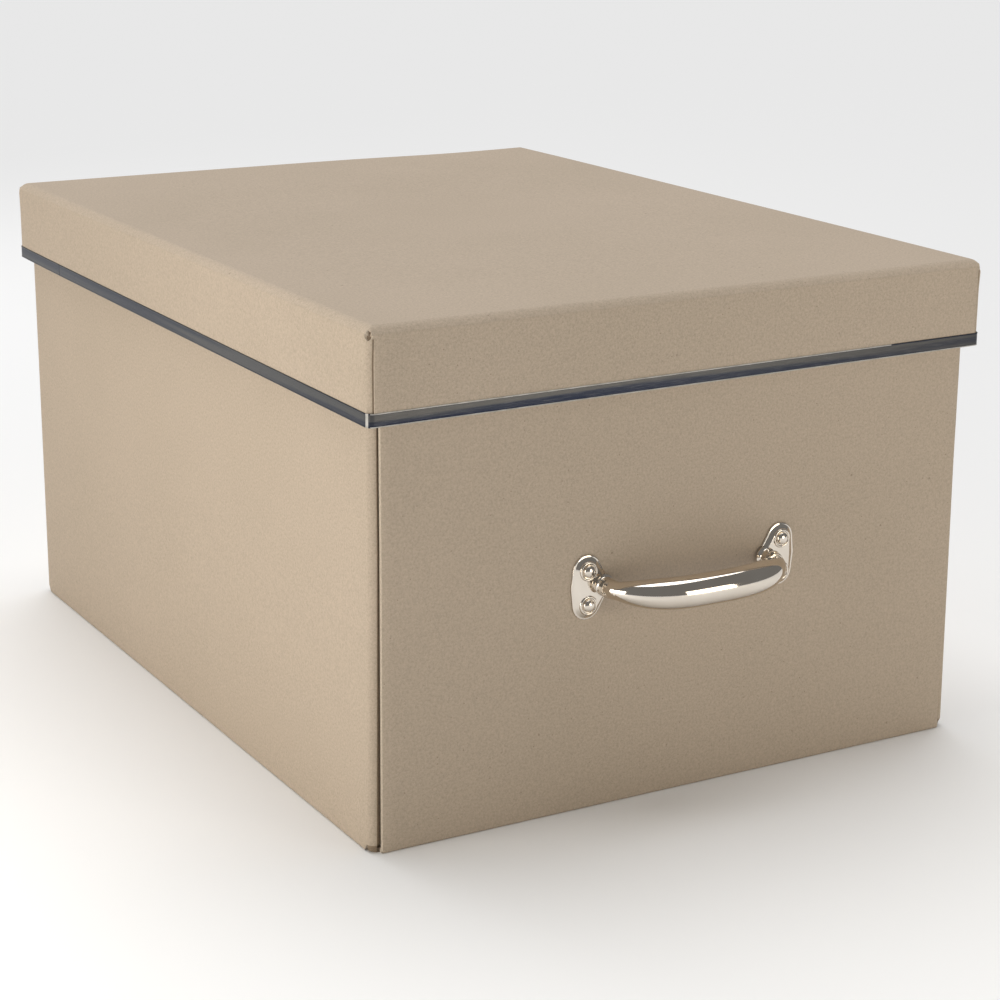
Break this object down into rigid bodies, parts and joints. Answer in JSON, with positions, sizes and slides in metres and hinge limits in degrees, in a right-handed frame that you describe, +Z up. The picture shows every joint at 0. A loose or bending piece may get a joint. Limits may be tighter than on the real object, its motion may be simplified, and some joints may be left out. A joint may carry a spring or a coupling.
{
  "type": "archival box",
  "caption": "Folded fibreboard archival storage box with a lift-off lid, a metal strip round the lid's rim and a fixed metal pull handle on the front wall.",
  "frame": {"origin": "on the floor, under the middle of the base tray", "axes": "+Z up, +Y from the front wall with the handle to the rear wall, +X to the right as the front is faced"},
  "size_m": [0.384, 0.5444, 0.279],
  "materials": {
    "kraft_board": "matt uncoated kraft fibreboard",
    "insert_board": "matt uncoated lining board",
    "edge_metal": "dark rolled steel strip, satin",
    "polished_nickel": "polished nickel plate",
    "zinc_steel": "zinc plated steel"
  },
  "bodies": {
    "base": {"base_floor": "kraft_board", "left_wall": "kraft_board", "right_wall": "kraft_board", "front_left_flap": "kraft_board", "rear_left_flap": "kraft_board", "front_right_flap": "kraft_board", "rear_right_flap": "kraft_board", "front_wall_outer": "kraft_board", "front_wall_inner": "kraft_board", "rear_wall_outer": "kraft_board", "rear_wall_inner": "kraft_board", "floor_insert": "insert_board", "handle": "polished_nickel", "handle_rivets": "polished_nickel", "rivet_washers": "zinc_steel"},
    "lid": {"lid_top": "kraft_board", "lid_left_apron": "kraft_board", "lid_right_apron": "kraft_board", "lid_front_apron": "kraft_board", "lid_rear_apron": "kraft_board", "lid_front_left_flap": "kraft_board", "lid_rear_left_flap": "kraft_board", "lid_front_right_flap": "kraft_board", "lid_rear_right_flap": "kraft_board", "lid_edge_strip": "edge_metal"}
  },
  "joints": [
    {"name": "lid_lift", "type": "slide", "parent": "base", "child": "lid", "axis": [0, 0, 1], "range_m": [0, 0.12]}
  ]
}
